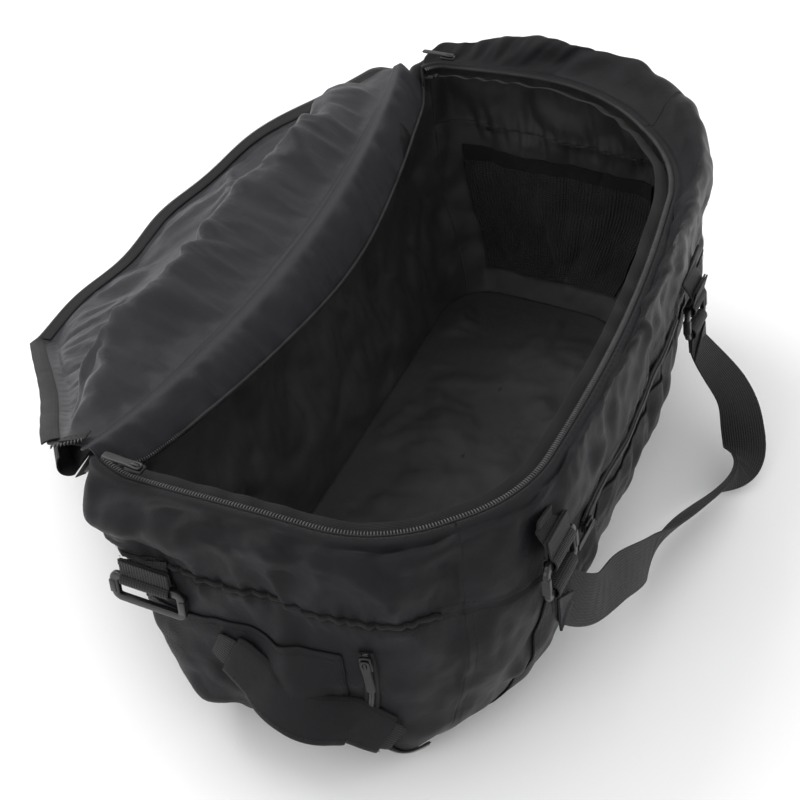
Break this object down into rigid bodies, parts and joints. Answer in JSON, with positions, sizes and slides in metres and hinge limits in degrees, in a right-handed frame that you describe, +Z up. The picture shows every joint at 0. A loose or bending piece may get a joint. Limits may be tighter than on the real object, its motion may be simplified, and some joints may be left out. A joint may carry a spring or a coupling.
{
  "type": "duffel bag",
  "caption": "Soft duffel bag standing open, its hinged zip lid laid back, with flat zipped pockets, strap rings, carrying handles and end grab handles.",
  "frame": {"origin": "on the ground under the middle of the base", "axes": "+X along the bag to its far end, +Y to the back with the lid hinge, +Z up"},
  "size_m": [0.6938, 0.6625, 0.275],
  "materials": {
    "nylon": "matt twill",
    "coated_nylon": "satin coated side",
    "binding": "matt",
    "zip_coil": "satin",
    "mesh": "matt mesh",
    "webbing": "matt ribbed",
    "plastic": "semi-gloss",
    "slider": "painted"
  },
  "bodies": {
    "bag": {"bottom_panel": "nylon", "front_panel": "nylon", "far_end_panel": "nylon", "back_panel": "nylon", "near_end_panel": "nylon", "front_top_gusset": "nylon", "far_top_gusset": "nylon", "near_top_gusset": "nylon", "front_pocket_panel": "nylon", "back_pocket_panel": "nylon", "near_pocket_panel": "nylon", "far_pocket_panel": "nylon", "mouth_zip_tape": "binding", "mouth_binding": "binding", "hinge_binding": "binding", "far_end_piping": "binding", "near_end_piping": "binding", "front_pocket_zip": "binding", "back_pocket_zip": "binding", "near_pocket_zip": "binding", "far_pocket_zip": "binding", "mesh_pocket_binding": "binding", "mouth_zip_coil": "zip_coil", "mesh_pocket": "mesh", "front_near_ring_tab": "webbing", "front_far_ring_tab": "webbing", "back_near_ring_tab": "webbing", "back_far_ring_tab": "webbing", "near_end_ring_tab": "webbing", "far_end_ring_tab": "webbing", "near_grab_handle": "webbing", "far_grab_handle": "webbing"},
    "lid": {"lid_panel": "coated_nylon", "lid_zip_tape": "binding", "lid_zip_coil": "zip_coil", "lid_zip_tail": "binding"},
    "lid_corner": {"lid_corner_panel": "coated_nylon", "lid_corner_zip_tape": "binding", "lid_corner_zip_coil": "zip_coil"},
    "front_near_ring": {"front_near_ring": "plastic"},
    "front_far_ring": {"front_far_ring": "plastic"},
    "back_near_ring": {"back_near_ring": "plastic"},
    "back_far_ring": {"back_far_ring": "plastic"},
    "near_end_ring": {"near_end_ring": "plastic"},
    "far_end_ring": {"far_end_ring": "plastic"},
    "front_handle": {"front_handle": "webbing"},
    "back_handle": {"back_handle": "webbing"},
    "front_pocket_slider": {"front_pocket_slider": "slider"},
    "front_pocket_puller": {"front_pocket_puller": "slider"},
    "back_pocket_slider": {"back_pocket_slider": "slider"},
    "back_pocket_puller": {"back_pocket_puller": "slider"},
    "near_pocket_slider": {"near_pocket_slider": "slider"},
    "near_pocket_puller": {"near_pocket_puller": "slider"},
    "far_pocket_slider": {"far_pocket_slider": "slider"},
    "far_pocket_puller": {"far_pocket_puller": "slider"},
    "mouth_near_slider": {"mouth_near_slider": "slider"},
    "mouth_near_puller": {"mouth_near_puller": "slider"},
    "mouth_far_slider": {"mouth_far_slider": "slider"},
    "mouth_far_puller": {"mouth_far_puller": "slider"}
  },
  "joints": [
    {"name": "lid_hinge", "type": "hinge", "parent": "bag", "child": "lid", "pos_m": [0, 0.152, 0.24683], "axis": [0.9988, 0, 0.0494], "range_deg": [0, 216]},
    {"name": "lid_corner_fold", "type": "hinge", "parent": "lid", "child": "lid_corner", "pos_m": [-0.17711, 0.27661, 0.13277], "axis": [0.687, 0.596, -0.4157], "range_deg": [0, 180.5]},
    {"name": "front_near_ring_tilt", "type": "hinge", "parent": "bag", "child": "front_near_ring", "pos_m": [-0.21686, -0.17513, 0.19377], "axis": [-0.9936, 0.0328, 0.1085], "range_deg": [0, 40]},
    {"name": "front_far_ring_tilt", "type": "hinge", "parent": "bag", "child": "front_far_ring", "pos_m": [0.15687, -0.18747, 0.15298], "axis": [-0.9936, 0.0328, 0.1085], "range_deg": [0, 40]},
    {"name": "front_handle_swing", "type": "hinge", "parent": "front_near_ring", "child": "front_handle", "pos_m": [-0.21945, -0.17968, 0.17138], "axis": [-0.9936, 0.0328, 0.1085], "range_deg": [0, 105]},
    {"name": "back_near_ring_tilt", "type": "hinge", "parent": "bag", "child": "back_near_ring", "pos_m": [-0.20229, 0.15364, 0.16714], "axis": [0.9996, -0.0047, -0.0288], "range_deg": [0, 25]},
    {"name": "back_far_ring_tilt", "type": "hinge", "parent": "bag", "child": "back_far_ring", "pos_m": [0.1607, 0.15194, 0.15666], "axis": [0.9996, -0.0047, -0.0288], "range_deg": [0, 25]},
    {"name": "back_handle_swing", "type": "hinge", "parent": "back_near_ring", "child": "back_handle", "pos_m": [-0.20294, 0.15595, 0.14427], "axis": [0.9996, -0.0047, -0.0288], "range_deg": [0, 35]},
    {"name": "near_end_ring_swing", "type": "hinge", "parent": "bag", "child": "near_end_ring", "pos_m": [-0.32674, 0.09445, 0.15324], "axis": [0, 1, 0], "range_deg": [0, 80]},
    {"name": "far_end_ring_swing", "type": "hinge", "parent": "bag", "child": "far_end_ring", "pos_m": [0.34833, 0.0944, 0.15327], "axis": [0, -1, 0], "range_deg": [0, 80]},
    {"name": "front_pocket_slide", "type": "slide", "parent": "bag", "child": "front_pocket_slider", "axis": [0.9979, -0.0653, 0.0018], "range_m": [0, 0.06]},
    {"name": "front_pocket_pull", "type": "hinge", "parent": "front_pocket_slider", "child": "front_pocket_puller", "pos_m": [-0.15305, -0.18355, 0.16163], "axis": [0.0018, 0.0554, 0.9985], "range_deg": [0, 85]},
    {"name": "back_pocket_slide", "type": "slide", "parent": "bag", "child": "back_pocket_slider", "axis": [0.9969, 0, 0.0783], "range_m": [0, 0.12]},
    {"name": "back_pocket_pull", "type": "hinge", "parent": "back_pocket_slider", "child": "back_pocket_puller", "pos_m": [-0.13648, 0.15879, 0.21112], "axis": [0.0782, -0.0367, -0.9963], "range_deg": [0, 42]},
    {"name": "near_pocket_slide", "type": "slide", "parent": "bag", "child": "near_pocket_slider", "axis": [0.004, -0.1737, -0.9848], "range_m": [0, 0.035]},
    {"name": "near_pocket_pull", "type": "hinge", "parent": "near_pocket_slider", "child": "near_pocket_puller", "pos_m": [-0.32378, -0.0738, 0.14159], "axis": [-0.2045, 0.9638, -0.1709], "range_deg": [0, 85]},
    {"name": "far_pocket_slide", "type": "slide", "parent": "bag", "child": "far_pocket_slider", "axis": [-0.1022, -0.0181, -0.9946], "range_m": [0, 0.035]},
    {"name": "far_pocket_pull", "type": "hinge", "parent": "far_pocket_slider", "child": "far_pocket_puller", "pos_m": [0.34469, -0.09884, 0.14096], "axis": [-0.2146, -0.9759, 0.0398], "range_deg": [0, 85]},
    {"name": "mouth_near_slide", "type": "slide", "parent": "bag", "child": "mouth_near_slider", "axis": [-0.0371, -0.9993, 0], "range_m": [0, 0.06]},
    {"name": "mouth_near_pull", "type": "hinge", "parent": "mouth_near_slider", "child": "mouth_near_puller", "pos_m": [-0.29686, 0.10695, 0.23886], "axis": [0.9993, -0.0371, 0], "range_deg": [0, 85]},
    {"name": "mouth_far_slide", "type": "slide", "parent": "bag", "child": "mouth_far_slider", "axis": [0.0485, -0.9988, 0], "range_m": [0, 0.06]},
    {"name": "mouth_far_pull", "type": "hinge", "parent": "mouth_far_slider", "child": "mouth_far_puller", "pos_m": [0.30389, 0.10865, 0.26854], "axis": [0.9988, 0.0485, 0], "range_deg": [0, 85]}
  ],
  "couplings": [
    {"joint": "lid_corner_fold", "follows": "lid_hinge", "ratio": 0.83333},
    {"joint": "front_far_ring_tilt", "follows": "front_near_ring_tilt", "ratio": 1},
    {"joint": "back_far_ring_tilt", "follows": "back_near_ring_tilt", "ratio": 1}
  ]
}
